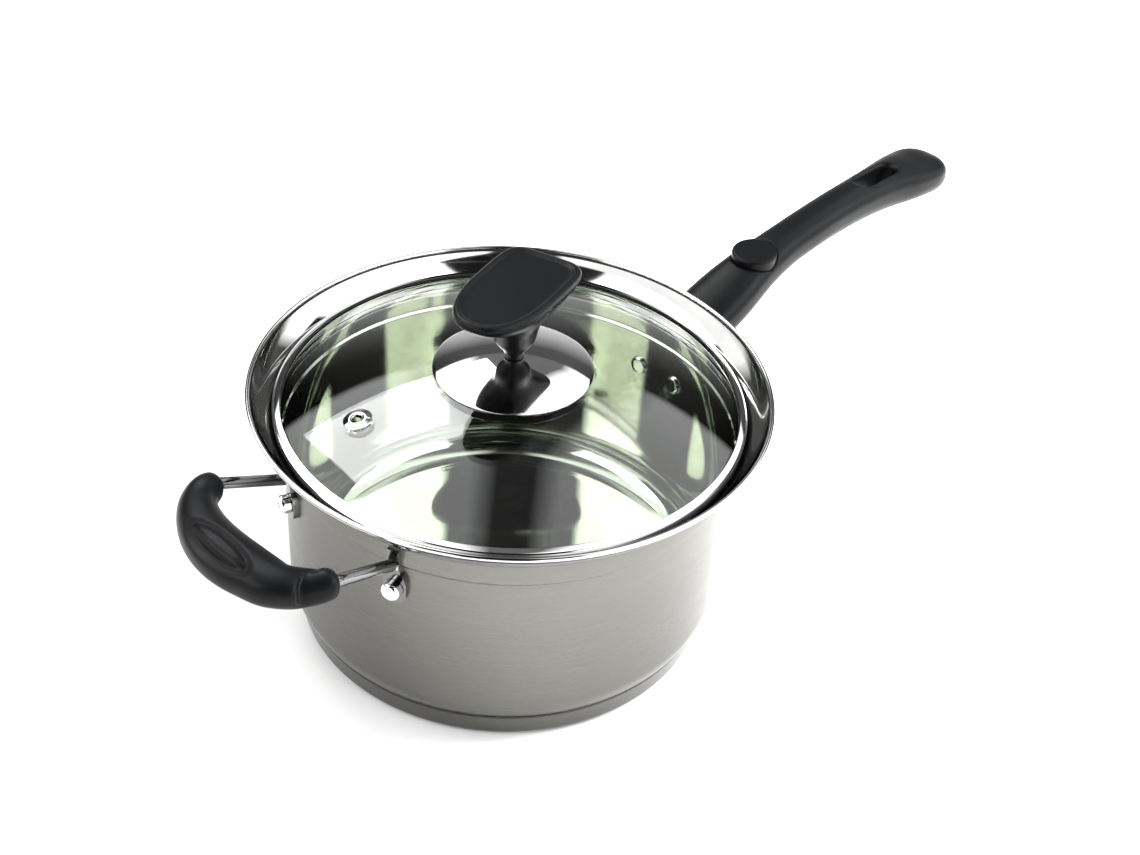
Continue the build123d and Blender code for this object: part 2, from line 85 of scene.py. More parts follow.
LUG_Z = 83.0
RIVET = 2.4
HANDLE_PLATE = 2.8          # from the wall's inside to the outer heads, at the long handle
HELPER_PLATE = 3.0          # the same at the helper handle
INNER_HEAD = (4.5, 1.6)     # radius and height of a rivet's head
HANDLE_HEAD = (4.2, 1.4)
HELPER_HEAD = (4.3, 4.4)
HELPER_DIMPLE = 0.35

# ---- fineness of the meshes ----
PAN_SEGMENTS = 320
BAND_SEGMENTS = 384
SHIELD_SEGMENTS = 256
BADGE_SEGMENTS = 128
VENT_SEGMENTS = 96
RIVET_SEGMENTS = 64
BEAD_POINTS = 25


# ---- shapes ----
def rounded(points, radii, closed=True, step=0.12):
    """The outline with each corner replaced by an arc of its radius."""
    count = len(points)
    line = []
    for i, (x, z) in enumerate(points):
        radius = radii[i]
        if radius <= 0 or (not closed and i in (0, count - 1)):
            line.append((x, z))
            continue
        before, after = points[i - 1], points[(i + 1) % count]
        a = Vector((before[0] - x, before[1] - z)).normalized()
        b = Vector((after[0] - x, after[1] - z)).normalized()
        half = a.angle(b) / 2
        if abs(half - pi / 2) < 1e-3:
            line.append((x, z))
            continue
        run = radius * cos(half) / sin(half)
        centre = Vector((x, z)) + (a + b).normalized() * (radius / sin(half))
        start = Vector((x, z)) + a * run - centre
        end = Vector((x, z)) + b * run - centre
        turn = atan2(start.x * end.y - start.y * end.x, start.dot(end))
        pieces = max(2, ceil(abs(turn) / step))
        for k in range(pieces + 1):
            angle = turn * k / pieces
            c, s = cos(angle), sin(angle)
            line.append((centre.x + start.x * c - start.y * s,
                         centre.y + start.x * s + start.y * c))
    return line


def divided(line, longest, closed=True):
    """The line with its long runs cut into equal shorter ones."""
    result = []
    ends = line[1:] + ([line[0]] if closed else [])
    for (x0, z0), (x1, z1) in zip(line, ends):
        pieces = max(1, ceil(sqrt((x1 - x0) ** 2 + (z1 - z0) ** 2) / longest))
        for k in range(pieces):
            result.append((x0 + (x1 - x0) * k / pieces, z0 + (z1 - z0) * k / pieces))
    return result if closed else result + [line[-1]]


def arc_run(top_z, radius, start, end, longest=2.0):
    """Points on a dome's profile between two distances from the axis."""
    pieces = max(2, ceil(abs(end - start) / longest))
    reach = [start + (end - start) * k / pieces for k in range(pieces + 1)]
    return [(r, top_z - radius + sqrt(radius ** 2 - r ** 2)) for r in reach]


def finish_mesh(name, mesh, body, materials, sharp=35.0):
    """Object for a mesh, smooth-shaded, with its materials, riding on a body."""
    mesh.shade_smooth()
    mesh.set_sharp_from_angle(angle=radians(sharp))
    obj = bpy.data.objects.new(name, mesh)
    bpy.context.scene.collection.objects.link(obj)
    for material in materials:
        mesh.materials.append(material)
    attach(obj, body)
    return obj


def lathe_mesh(name, line, segments, place=None, material_of=None):
    """Closed surface of revolution about Z from a closed profile in millimetres."""
    verts, faces, index = [], [], []
    rings = []
    for r, z in line:
        if r < 1e-6:
            rings.append([len(verts)] * segments)
            verts.append((0, 0, z * MM))
            continue
        first = len(verts)
        for k in range(segments):
            angle = 2 * pi * k / segments
            verts.append((r * cos(angle) * MM, r * sin(angle) * MM, z * MM))
        rings.append(list(range(first, first + segments)))
    for i, ring in enumerate(rings):
        following = rings[(i + 1) % len(rings)]
        for k in range(segments):
            m = (k + 1) % segments
            corners = list(dict.fromkeys([ring[k], ring[m], following[m], following[k]]))
            if len(corners) > 2:
                faces.append(corners)
                index.append(material_of(i, line) if material_of else 0)
    mesh = bpy.data.meshes.new(name)
    mesh.from_pydata(verts, [], faces)
    for polygon, material in zip(mesh.polygons, index):
        polygon.material_index = material
    tidy = bmesh.new()
    tidy.from_mesh(mesh)
    bmesh.ops.recalc_face_normals(tidy, faces=tidy.faces)
    if place is not None:
        tidy.transform(place)
    tidy.to_mesh(mesh)
    tidy.free()
    return mesh


def place_at(origin, out, side):
    """Matrix in metres whose local Z is out and X is side, at an origin in millimetres."""
    z = Vector(out).normalized()
    x = Vector(side).normalized()
    y = z.cross(x)
    matrix = Matrix((x, y, z)).transposed().to_4x4()
    matrix.translation = Vector(origin) * MM
    return matrix


def wall_place(angle, z):
    """Matrix on the pan's wall at an angle, pointing out."""
    out = (cos(angle), sin(angle), 0)
    return place_at((PAN_RADIUS * out[0], PAN_RADIUS * out[1], z), out, (-out[1], out[0], 0))


def remeshed(name, node, body, material, voxel, smoothing):
    """Replaces a CAD piece with a smooth, evenly meshed copy of it."""
    obj = bpy.data.objects.new(name, nodes[node].data.copy())
    bpy.context.scene.collection.objects.link(obj)
    obj.data.materials.clear()
    weld = obj.modifiers.new("weld", "WELD")
    weld.merge_threshold = 1e-6
    remesh = obj.modifiers.new("remesh", "REMESH")
    remesh.mode = "VOXEL"
    remesh.voxel_size = voxel * MM
    smooth = obj.modifiers.new("smooth", "SMOOTH")
    smooth.factor = 0.5
    smooth.iterations = smoothing
    bpy.context.view_layer.update()
    graph = bpy.context.evaluated_depsgraph_get()
    mesh = bpy.data.meshes.new_from_object(obj.evaluated_get(graph))
    bpy.data.objects.remove(obj)
    made = finish_mesh(name, mesh, body, [material], sharp=180.0)
    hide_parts(node)


# ---- materials ----
class Nodes:
    """Small helper for building node trees."""

    def __init__(self, tree):
        self.tree = tree

    def add(self, kind, **values):
        node = self.tree.nodes.new(kind)
        for key, value in values.items():
            setattr(node, key, value)
        return node

    def link(self, out, into):
        self.tree.links.new(out, into)

    def math(self, operation, a, b=None):
        node = self.add("ShaderNodeMath", operation=operation)
        for socket, value in zip(node.inputs, (a, b)):
            if value is not None:
                self.fill(socket, value)
        return node.outputs[0]

    def fill(self, socket, value):
        """Sets a socket to a number, or links an output to it."""
        if isinstance(value, (int, float)):
            socket.default_value = value
        else:
            self.link(value, socket)

    def fold(self, operation, *values):
        """Several values added or multiplied one after another."""
        result = values[0]
        for value in values[1:]:
            result = self.math(operation, result, value)
        return result

    def combine(self, x, y, z):
        node = self.add("ShaderNodeCombineXYZ")
        for socket, value in zip(node.inputs, (x, y, z)):
            self.fill(socket, value)
        return node.outputs[0]

    def split(self, vector):
        node = self.add("ShaderNodeSeparateXYZ")
        self.link(vector, node.inputs[0])
        return node.outputs

    def noise(self, vector, scale, detail=4.0, roughness=0.55):
        node = self.add("ShaderNodeTexNoise")
        self.link(vector, node.inputs["Vector"])
        node.inputs["Scale"].default_value = scale
        node.inputs["Detail"].default_value = detail
        node.inputs["Roughness"].default_value = roughness
        return node.outputs["Fac"]

    def ramp(self, value, stops):
        node = self.add("ShaderNodeValToRGB")
        self.link(value, node.inputs["Fac"])
        ramp = node.color_ramp
        while len(ramp.elements) < len(stops):
            ramp.elements.new(0.5)
        for element, (position, colour) in zip(ramp.elements, stops):
            element.position = position
            element.color = (*colour, 1.0)
        return node.outputs["Color"]

    def span(self, value, low, high, out_low, out_high):
        node = self.add("ShaderNodeMapRange")
        self.link(value, node.inputs["Value"])
        limits = {"From Min": low, "From Max": high, "To Min": out_low, "To Max": out_high}
        for key, number in limits.items():
            node.inputs[key].default_value = number
        return node.outputs["Result"]

    def window(self, value, rise, fall):
        """1 between a rise and a fall and 0 outside them, with soft edges."""
        return self.math("MULTIPLY", self.span(value, *rise, 0, 1), self.span(value, *fall, 0, 1))

    def bump(self, height, strength, distance):
        node = self.add("ShaderNodeBump")
        node.inputs["Strength"].default_value = strength
        node.inputs["Distance"].default_value = distance
        self.link(height, node.inputs["Height"])
        return node.outputs["Normal"]


def new_material(name):
    """A material with its helper, its shader and its object coordinates."""
    material = bpy.data.materials.new(name)
    material.use_nodes = True
    n = Nodes(material.node_tree)
    shader = material.node_tree.nodes["Principled BSDF"]
    coords = n.add("ShaderNodeTexCoord").outputs["Object"]
    return material, n, shader, coords


def toned(colour, share):
    """The colour made darker or lighter by a share."""
    return tuple(min(1.0, c * share) for c in colour)


def set_colour(n, shader, value, low, high, edges=(0.3, 0.7)):
    """Lets the shader's colour follow a noise from one tone to another."""
    n.link(n.ramp(value, [(edges[0], low), (edges[1], high)]), shader.inputs["Base Color"])


def round_coords(n, coords, along, up):
    """Coordinates round the axis and up it, each with its own scale."""
    x, y, z = n.split(coords)
    angle = n.math("ARCTAN2", y, x)
    return n.combine(n.math("MULTIPLY", n.math("COSINE", angle), along),
                     n.math("MULTIPLY", n.math("SINE", angle), along),
                     n.math("MULTIPLY", z, up))


def brushed_steel(name, colour, rough, foot_shade=(0.0, 0.01, 1.0)):
    """Steel brushed round the pan: fine lines along the wall and a stretched soft sheen.

    The last argument holds the painted shade towards the bottom: the two heights in metres between
    which the steel darkens downwards, and the share of its colour that is left below them.
    """
    material, n, shader, coords = new_material(name)
    fine = n.noise(round_coords(n, coords, 4.0, 2200.0), 1.0, 6.0, 0.62)
    broad = n.noise(round_coords(n, coords, 0.5, 110.0), 1.0, 3.0, 0.5)
    cloud = n.noise(coords, 22.0, 3.0, 0.5)
    mixed = n.fold("ADD", n.math("MULTIPLY", broad, 0.25), n.math("MULTIPLY", cloud, 0.2),
                   n.math("MULTIPLY", fine, 0.55))
    tone = n.ramp(mixed, [(0.32, toned(colour, 0.93)), (0.5, colour), (0.68, toned(colour, 1.06))])
    # painted shade: the steel darkens towards the bottom
    start, end, share = foot_shade
    z = n.split(coords)[2]
    shade = n.add("ShaderNodeVectorMath", operation="SCALE")
    n.link(tone, shade.inputs[0])
    n.link(n.span(z, start, end, share, 1.0), shade.inputs["Scale"])
    n.link(shade.outputs[0], shader.inputs["Base Color"])
    n.link(n.span(mixed, 0.3, 0.7, rough + 0.06, rough - 0.04), shader.inputs["Roughness"])
    n.link(n.bump(fine, 0.35, 0.00004), shader.inputs["Normal"])
    shader.inputs["Metallic"].default_value = 1.0
    shader.inputs["Anisotropic"].default_value = 0.55
    shader.inputs["Anisotropic Rotation"].default_value = 0.25
    tangent = n.add("ShaderNodeTangent", direction_type="RADIAL", axis="Z")
    n.link(tangent.outputs[0], shader.inputs["Tangent"])
    return material


def turned_steel(name, colour, rough):
    """Steel with very fine turning lines, nearly a mirror."""
    material, n, shader, coords = new_material(name)
    lines = n.noise(round_coords(n, coords, 3.0, 2600.0), 1.0, 3.0, 0.6)
    smears = n.noise(coords, 45.0, 4.0, 0.6)
    set_colour(n, shader, smears, toned(colour, 0.93), toned(colour, 1.04), (0.35, 0.65))
    n.link(n.span(smears, 0.3, 0.75, rough, rough + 0.035), shader.inputs["Roughness"])
    n.link(n.bump(lines, 0.05, 0.00001), shader.inputs["Normal"])
    shader.inputs["Metallic"].default_value = 1.0
    return material


def moulded_plastic(name, colour, rough, grain):
    """Black moulded plastic with a fine grain and broad changes of tone and gloss."""
    material, n, shader, coords = new_material(name)
    fine = n.noise(coords, 2600.0, 2.0, 0.5)
    worn = n.noise(coords, 38.0, 4.0, 0.6)
    set_colour(n, shader, worn, toned(colour, 0.7), toned(colour, 1.5))
    n.link(n.span(worn, 0.3, 0.7, rough + 0.05, rough - 0.05), shader.inputs["Roughness"])
    n.link(n.bump(fine, grain, 0.00006), shader.inputs["Normal"])
    shader.inputs["Specular IOR Level"].default_value = 0.11
    return material


def clear_glass(name, tint):
    """Toughened glass with a slight tint and a few faint ripples."""
    material, n, shader, coords = new_material(name)
    ripples = n.noise(coords, 16.0, 2.0, 0.4)
    set_colour(n, shader, ripples, tint, toned(tint, 1.02))
    n.link(n.bump(ripples, 0.03, 0.0004), shader.inputs["Normal"])
    shader.inputs["Roughness"].default_value = 0.0
    shader.inputs["IOR"].default_value = 1.5
    shader.inputs["Transmission Weight"].default_value = 1.0
    return material


def silicone(name, colour):
    """Matt rubber with a soft mottled surface."""
    material, n, shader, coords = new_material(name)
    mottle = n.noise(coords, 260.0, 3.0, 0.6)
    set_colour(n, shader, mottle, toned(colour, 0.85), colour)
    n.link(n.bump(mottle, 0.2, 0.0001), shader.inputs["Normal"])
    shader.inputs["Roughness"].default_value = 0.55
    return material


def plain_metal(name, colour, rough):
    """Plain metal with small scratches."""
    material, n, shader, coords = new_material(name)
    scratches = n.noise(coords, 700.0, 5.0, 0.65)
    set_colour(n, shader, scratches, toned(colour, 0.8), colour)
    n.link(n.span(scratches, 0.3, 0.7, rough, rough + 0.1), shader.inputs["Roughness"])
    n.link(n.bump(scratches, 0.1, 0.00003), shader.inputs["Normal"])
    shader.inputs["Metallic"].default_value = 1.0
    return material


def floor_material(name):
    """Plain pale floor with the faintest unevenness."""
    material, n, shader, coords = new_material(name)
    cloud = n.noise(coords, 3.0, 3.0, 0.5)
    set_colour(n, shader, cloud, (0.78, 0.78, 0.78), (0.81, 0.81, 0.81))
    shader.inputs["Roughness"].default_value = 0.6
    shader.inputs["Specular IOR Level"].default_value = 0.2
    return material


# The colours are set for this scene's light: the steel and plastic are darker than the real ones.
# The wall darkens towards the bottom: painted shade.
WALL = brushed_steel("wall_brushed", (0.155, 0.152, 0.141), 0.28, foot_shade=(0.012, 0.085, 0.70))
CAP = brushed_steel("cap_brushed", (0.10, 0.098, 0.092), 0.24)
# The inside's green tint is painted light: it stands for the tint that the glass and the studio
# light give the steel.
INNER = turned_steel("inside_steel", (0.55, 0.57, 0.50), 0.035)
# The rod and its brackets are painted dark: a painted reflection of the dark surroundings they
# mirror.
DARKENED_ROD_STEEL = turned_steel("rod_steel", (0.17, 0.17, 0.168), 0.10)
# Painted shade: this dark steel stands for the shadow in the gaps between lid and pan, under the
# rim, at the top of the cap and under the shield.
PAINTED_SHADE = plain_metal("painted_shade_steel", (0.05, 0.05, 0.05), 0.35)
POLISH = turned_steel("polished_steel", (0.62, 0.62, 0.61), 0.045)
MIRROR = turned_steel("mirror_steel", (0.72, 0.72, 0.72), 0.02)
BRIGHT = plain_metal("bright_steel", (0.55, 0.55, 0.54), 0.14)
CORE = plain_metal("core_metal", (0.70, 0.70, 0.71), 0.35)
BRASS = plain_metal("insert_metal", (0.72, 0.55, 0.25), 0.25)
GRIP = moulded_plastic("grip_plastic", (0.0022, 0.0024, 0.0028), 0.36, 0.30)
KNOB = moulded_plastic("knob_plastic", (0.0025, 0.0027, 0.0031), 0.33, 0.25)
BADGE = moulded_plastic("badge_plastic", (0.0022, 0.0024, 0.0028), 0.36, 0.2)
CLEAR = clear_glass("lid_clear", (0.855, 0.895, 0.86))
SEAL_LOOK = silicone("seal_rubber", (0.02, 0.021, 0.02))
GASKET = silicone("gasket_rubber", (0.42, 0.42, 0.40))


# ---- the pan ----
def offset_line(path, distance):
    """The open path moved to its right by a distance, with mitred corners."""
    moved = []
    for i, corner in enumerate(path):
        before = path[max(i - 1, 0)]
        after = path[min(i + 1, len(path) - 1)]
        a = Vector((corner[0] - before[0], corner[1] - before[1]))
        b = Vector((after[0] - corner[0], after[1] - corner[1]))
        a = a.normalized() if a.length > 0 else b.normalized()
        b = b.normalized() if b.length > 0 else a
        share = distance / (1 + a.dot(b))
        moved.append((corner[0] + (a.y + b.y) * share, corner[1] - (a.x + b.x) * share))
    return moved


def pan_profile():
    """Closed profile of the pan's sheet with its rolled bead, and where its outside starts."""
    floor_z = BASE_HEIGHT + SHEET
    band = PAN_RADIUS + BAND_STEP
    lip = (RIM_RADIUS - BEAD * sin(LIP_ANGLE), RIM_Z - BEAD - BEAD * cos(LIP_ANGLE) * 0.2)
    half_turn = (LIP_ANGLE - LEDGE_ANGLE) / 2
    tangent = FLARE_RADIUS * sin(half_turn) / cos(half_turn)
    bend = (lip[0] - tangent * cos(LIP_ANGLE), lip[1] - tangent * sin(LIP_ANGLE))
    seat_z = bend[1] - (bend[0] - band) * sin(LEDGE_ANGLE) / cos(LEDGE_ANGLE)
    path = [(0, floor_z), (PAN_RADIUS, floor_z), (PAN_RADIUS, BAND_Z), (band, BAND_Z + 1.2),
            (band, seat_z), bend, lip]
    radii = [0, CORNER - SHEET, 1.0, 1.2, 2.6, FLARE_RADIUS - 0.1, 0]
    inside = divided(rounded(path, radii, closed=False, step=0.04), 3.0, closed=False)
    outer_path = offset_line(path, SHEET)
    outer_radii = [0, CORNER, 1.6, 0.6, 3.2, FLARE_RADIUS + 0.5, 0]
    outside = divided(rounded(outer_path, outer_radii, closed=False, step=0.04), 3.0, closed=False)
    bead = []
    for k in range(BEAD_POINTS):
        angle = radians(160 - 285 * k / (BEAD_POINTS - 1))
        bead.append((RIM_RADIUS + BEAD * cos(angle), RIM_Z - BEAD + BEAD * sin(angle)))
    return inside[:-1] + bead + outside[-2::-1], len(inside) - 1 + len(bead)


def make_pan():
    """The pan's sheet, and the cap pressed on under its base."""
    line, outside_from = pan_profile()
    polished, brushed, inner, painted_strip = range(4)
    inside_z = RIM_Z - 18.0
    seat_radius = RING_RADIUS + 1.6
    brushed_z = RIM_Z - 14.5
    under_rim = (RIM_Z - 5.3, RIM_Z - 1.9)

    def pan_steel_and_shade(i, points):
        """The steel at a point, with strips of painted shade at the lid's seat and under the rim."""
        r, z = points[i]
        if i < outside_from - BEAD_POINTS - 2:
            if z < inside_z:
                return inner
            return painted_strip if r < seat_radius else polished
        if under_rim[0] < z < under_rim[1] and r < RIM_RADIUS:
            return painted_strip
        return brushed if z < brushed_z else polished

    mesh = lathe_mesh("pan_shell", line, PAN_SEGMENTS, material_of=pan_steel_and_shade)
    shell = finish_mesh("pan_shell", mesh, "pan", [POLISH, WALL, INNER, PAINTED_SHADE])
    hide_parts("pan_body")

    groove = CAP_TOP_Z - 1.3
    cap = [(0, 0), (CAP_FLOOR_RADIUS, 0), (CAP_TOP_RADIUS - 0.15, groove),
           (CAP_TOP_RADIUS, CAP_TOP_Z - 0.1), (CAP_TOP_RADIUS - 0.5, CAP_TOP_Z),
           (CAP_TOP_RADIUS - 1.2, CAP_TOP_Z - 0.6), (CAP_FLOOR_RADIUS - 2.0, 3.0), (0, 3.0)]
    line = divided(rounded(cap, [0, 4.0, 0, 0.3, 0.2, 0, 2.0, 0], step=0.06), 3.0)

    def cap_steel_and_shade(i, points):
        """Painted shade above the groove, where the cap meets the wall, brushed below it."""
        return 1 if points[i][1] > groove - 0.01 else 0

    mesh = lathe_mesh("base_shell", line, BAND_SEGMENTS, material_of=cap_steel_and_shade)
    cap_piece = finish_mesh("base_shell", mesh, "pan", [CAP, PAINTED_SHADE])
    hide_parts("base_cap")


def rivet_mesh(name, places, outer_reach, inner_head, outer_head, dimple):
    """Rivets as one mesh: head inside, shank, and a drum head outside that may have a dimple."""
    head_r, head_h = outer_head
    inner_r, inner_h = inner_head
    top = outer_reach + head_h
    outline = [(0, top - dimple), (head_r * 0.45, top - dimple), (head_r * 0.62, top), (head_r, top),
               (head_r, outer_reach), (RIVET, outer_reach), (RIVET, 0), (inner_r, 0),
               (inner_r, -inner_h), (0, -inner_h)]
    line = rounded(outline, [0, 0.5, 0.5, head_h * 0.4, 0, 0, 0, 0, inner_h * 0.8, 0], step=0.15)
    joined = bmesh.new()
    for place in places:
        joined.from_mesh(lathe_mesh(name, divided(line, 1.2), RIVET_SEGMENTS, place))
    mesh = bpy.data.meshes.new(name)
    joined.to_mesh(mesh)
    joined.free()
    return mesh


def make_rivets():
    """Both pairs of rivets, each pair as one piece."""
    places = [wall_place(side * HANDLE_RIVET_ANGLE, HANDLE_RIVET_Z) for side in (-1, 1)]
    mesh = rivet_mesh("handle_rivet_heads", places, HANDLE_PLATE, INNER_HEAD, HANDLE_HEAD, 0.0)
    heads = finish_mesh("handle_rivet_heads", mesh, "pan", [MIRROR])
    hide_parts("long_handle_rivets")
    places = [wall_place(pi + side * LUG_ANGLE, LUG_Z) for side in (-1, 1)]
    mesh = rivet_mesh("helper_rivet_heads", places, HELPER_PLATE, INNER_HEAD, HELPER_HEAD,
                      HELPER_DIMPLE)
    heads = finish_mesh("helper_rivet_heads", mesh, "pan", [MIRROR])
    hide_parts("helper_rivets")


def make_badge():
    """The round plug in the top of the long grip."""
    face = [(0, 0.0), (BADGE_RADIUS, -0.25), (BADGE_RADIUS, -BADGE_HEIGHT), (0, -BADGE_HEIGHT)]
    line = divided(rounded(face, [0, 1.5, 0.2, 0], step=0.1), 1.0)
    out = (-sin(BADGE_TILT), 0, cos(BADGE_TILT))
    place = place_at((BADGE_X, 0, BADGE_TOP_Z), out, (cos(BADGE_TILT), 0, sin(BADGE_TILT)))
    mesh = lathe_mesh("badge_button", line, BADGE_SEGMENTS, place)
    button = finish_mesh("badge_button", mesh, "pan", [BADGE])
    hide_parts("long_handle_badge")


# ---- the lid ----
def dome_z(radius, inset=0.0):
    """Height of the glass's upper face, or of a face the inset below it."""
    ball = DOME_RADIUS - inset
    return GLASS_TOP_Z - DOME_RADIUS + sqrt(ball ** 2 - radius ** 2)


def vent_frame():
    """Matrix on the glass at the vent, square to the dome."""
    out = Vector((cos(VENT_ANGLE), sin(VENT_ANGLE), 0))
    z = dome_z(VENT_RADIUS)
    normal = out * VENT_RADIUS + Vector((0, 0, z - GLASS_TOP_Z + DOME_RADIUS))
    return place_at(out * VENT_RADIUS + Vector((0, 0, z)), normal, (-out.y, out.x, 0))


def make_glass():
    """The domed pane, with its middle hole in the profile and the vent's hole cut through."""
    top = arc_run(GLASS_TOP_Z, DOME_RADIUS, CENTRE_HOLE, GLASS_RADIUS - 1.2)
    bottom = arc_run(GLASS_TOP_Z - GLASS, DOME_RADIUS - GLASS, GLASS_RADIUS - 1.2, CENTRE_HOLE)
    corners = [top[-1], (GLASS_RADIUS, dome_z(GLASS_RADIUS)),
               (GLASS_RADIUS, dome_z(GLASS_RADIUS, GLASS)), bottom[0]]
    edge = rounded(corners, [0, 1.1, 1.1, 0], closed=False)
    line = top[:-1] + edge + bottom[1:]
    mesh = lathe_mesh("lid_pane", line, BAND_SEGMENTS)
    pane = finish_mesh("lid_pane", mesh, "lid", [CLEAR])
    drill = [(0, -20), (VENT_HOLE, -20), (VENT_HOLE, 20), (0, 20)]
    hole = bpy.data.objects.new("hole", lathe_mesh("hole", drill, VENT_SEGMENTS, vent_frame()))
    bpy.context.scene.collection.objects.link(hole)
    cut = pane.modifiers.new("vent", "BOOLEAN")
    cut.object = hole
    cut.operation = "DIFFERENCE"
    cut.solver = "EXACT"
    bpy.context.view_layer.update()
    graph = bpy.context.evaluated_depsgraph_get()
    pierced = bpy.data.meshes.new_from_object(pane.evaluated_get(graph))
    pane.modifiers.clear()
    pane.data = pierced
    bpy.data.objects.remove(hole)
    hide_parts("lid_glass")


def make_ring():
    """The steel band round the glass, with the skirt that centres the lid in the pan."""
    top = dome_z(RING_INNER) + 1.0
    seat = RIM_Z - 14.1
    low = dome_z(GLASS_RADIUS) - GLASS - 0.7
    outline = [
        (RING_INNER, top), (RING_RADIUS - 0.4, top - 0.7), (RING_RADIUS, top - 3.0),
        (RING_RADIUS, seat + 0.6), (SKIRT_RADIUS + 0.1, seat), (SKIRT_RADIUS, seat - SKIRT_DEPTH),
        (SKIRT_RADIUS - 0.5, seat - SKIRT_DEPTH), (SKIRT_RADIUS - 0.5, seat + 1.7),
        (RING_INNER, seat + 1.4), (RING_INNER, low),
        (GLASS_RADIUS + SEAL, low), (GLASS_RADIUS + SEAL, dome_z(GLASS_RADIUS) + SEAL),
        (RING_INNER, dome_z(RING_INNER) + SEAL)]
    radii = [0.28, 1.6, 1.2, 0.5, 0.1, 0.1, 0.1, 0.2, 0.1, 0, 1.4, 1.4, 0.1]
    line = divided(rounded(outline, radii, step=0.15), 1.5)

    def ring_steel_and_shade(i, points):
        """Painted shade on the outer wall by the seat and on the lip against the glass, mirror
        elsewhere.
        """
        (r, z), (after_r, after_z) = points[i], points[(i + 1) % len(points)]
        outer = min(r, after_r) > RING_RADIUS - 0.05 and max(z, after_z) < top - 3.4
        inner = max(r, after_r) < RING_INNER + 0.7 and min(z, after_z) > dome_z(RING_INNER)
        return 1 if outer or inner else 0

    mesh = lathe_mesh("lid_band", line, BAND_SEGMENTS, material_of=ring_steel_and_shade)
    ring = finish_mesh("lid_band", mesh, "lid", [MIRROR, PAINTED_SHADE], sharp=50)
    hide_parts("lid_ring")


def make_grommet():
    """The eyelet of the steam vent, clinched over both faces of the glass."""
    outline = [
        (EYELET, 0.9), (3.4, 1.3), (6.3, 0.5), (6.3, -0.1), (VENT_HOLE, -0.1),
        (VENT_HOLE, -GLASS + 0.05), (6.0, -GLASS + 0.05), (6.0, -GLASS - 0.5),
        (3.0, -GLASS - 0.9), (EYELET, -GLASS - 0.6)]
    line = rounded(outline, [0.3, 0.8, 0.25, 0, 0, 0, 0, 0.2, 0.3, 0.2], step=0.15)
    mesh = lathe_mesh("vent_eyelet", divided(line, 0.8), VENT_SEGMENTS, vent_frame())
    eyelet = finish_mesh("vent_eyelet", mesh, "lid", [MIRROR])
    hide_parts("vent_grommet")


def make_shield():
    """The polished dome under the knob, with painted shade on its underside."""
    rise = SHIELD_TOP_Z - dome_z(SHIELD_RADIUS) - SHEET
    ball = (SHIELD_RADIUS ** 2 + rise ** 2) / (2 * rise)
    top = arc_run(SHIELD_TOP_Z, ball, SCREW + 0.2, SHIELD_RADIUS - 0.3, 1.0)
    edge_z = top[-1][1]
    bottom = arc_run(SHIELD_TOP_Z - SHEET, ball - SHEET, SHIELD_RADIUS - 0.3, SCREW + 0.2, 1.0)
    lip = [(SHIELD_RADIUS, edge_z - 0.2), (SHIELD_RADIUS, edge_z - 0.45)]
    line = top + lip + bottom

    def shield_steel_and_shade(i, _):
        return 1 if i > len(top) else 0

    mesh = lathe_mesh("shield_dome", line, SHIELD_SEGMENTS, material_of=shield_steel_and_shade)
    dome = finish_mesh("shield_dome", mesh, "lid", [MIRROR, PAINTED_SHADE])
    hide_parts("knob_shield")


def paint(node, material):
    """Gives a carried-over CAD piece its material."""
    data = nodes[node].data
    data.materials.clear()
    data.materials.append(material)
    for polygon in data.polygons:
        polygon.material_index = 0


make_pan()
make_rivets()
make_badge()
make_glass()
make_ring()
make_grommet()
make_shield()
remeshed("knob_moulding", "knob_body", "lid", KNOB, 0.55, 6)
remeshed("helper_moulding", "helper_grip", "pan", GRIP, 0.6, 6)
remeshed("handle_moulding", "long_handle_grip", "pan", GRIP, 0.7, 6)

for node, material in {
    "base_core": CORE,
    "long_handle_bracket": BRIGHT,
    "long_handle_screw": BRIGHT,
    "helper_brackets": DARKENED_ROD_STEEL,
    "helper_rod": DARKENED_ROD_STEEL,
    "lid_seal": SEAL_LOOK,
    "knob_insert": BRASS,
    "knob_screw": BRIGHT,
    "knob_upper_gasket": GASKET,
    "knob_lower_gasket": GASKET,
    "knob_washer": BRIGHT,
}.items():
    paint(node, material)


# ---- floor, light and camera ----
FLOOR_REACH = 6.0
FLOOR_DROP = 0.0002         # keeps the floor just clear of the pan's underside


def make_floor():
    signs = ((-1, -1), (1, -1), (1, 1), (-1, 1))
    corners = [(x * FLOOR_REACH, y * FLOOR_REACH, 0) for x, y in signs]
    mesh = bpy.data.meshes.new("floor")
    mesh.from_pydata(corners, [], [(0, 1, 2, 3)])
    mesh.materials.append(floor_material("floor_pale"))
    floor = bpy.data.objects.new("floor", mesh)
    floor.location.z = -FLOOR_DROP
    bpy.context.scene.collection.objects.link(floor)


LOOK = Vector((0.5886, 0.5326, -0.6082))
CAMERA_PLACE = Vector((-0.3772, -0.3772, 0.5064))
CAMERA_ROLL = radians(4.515)
CAMERA_LENS = 47.37
VIEW_AZIMUTH = atan2(LOOK.y, LOOK.x)

BELT = 0.545                # sine of the elevation where the bright top of the tent begins
TOP_LIGHT = 1.75
SIDE_LIGHT = 1.6
PANEL_LIGHT = 4.6
TENT_STRENGTH = 1.15
BACKDROP = 0.92             # what the camera itself sees behind the object


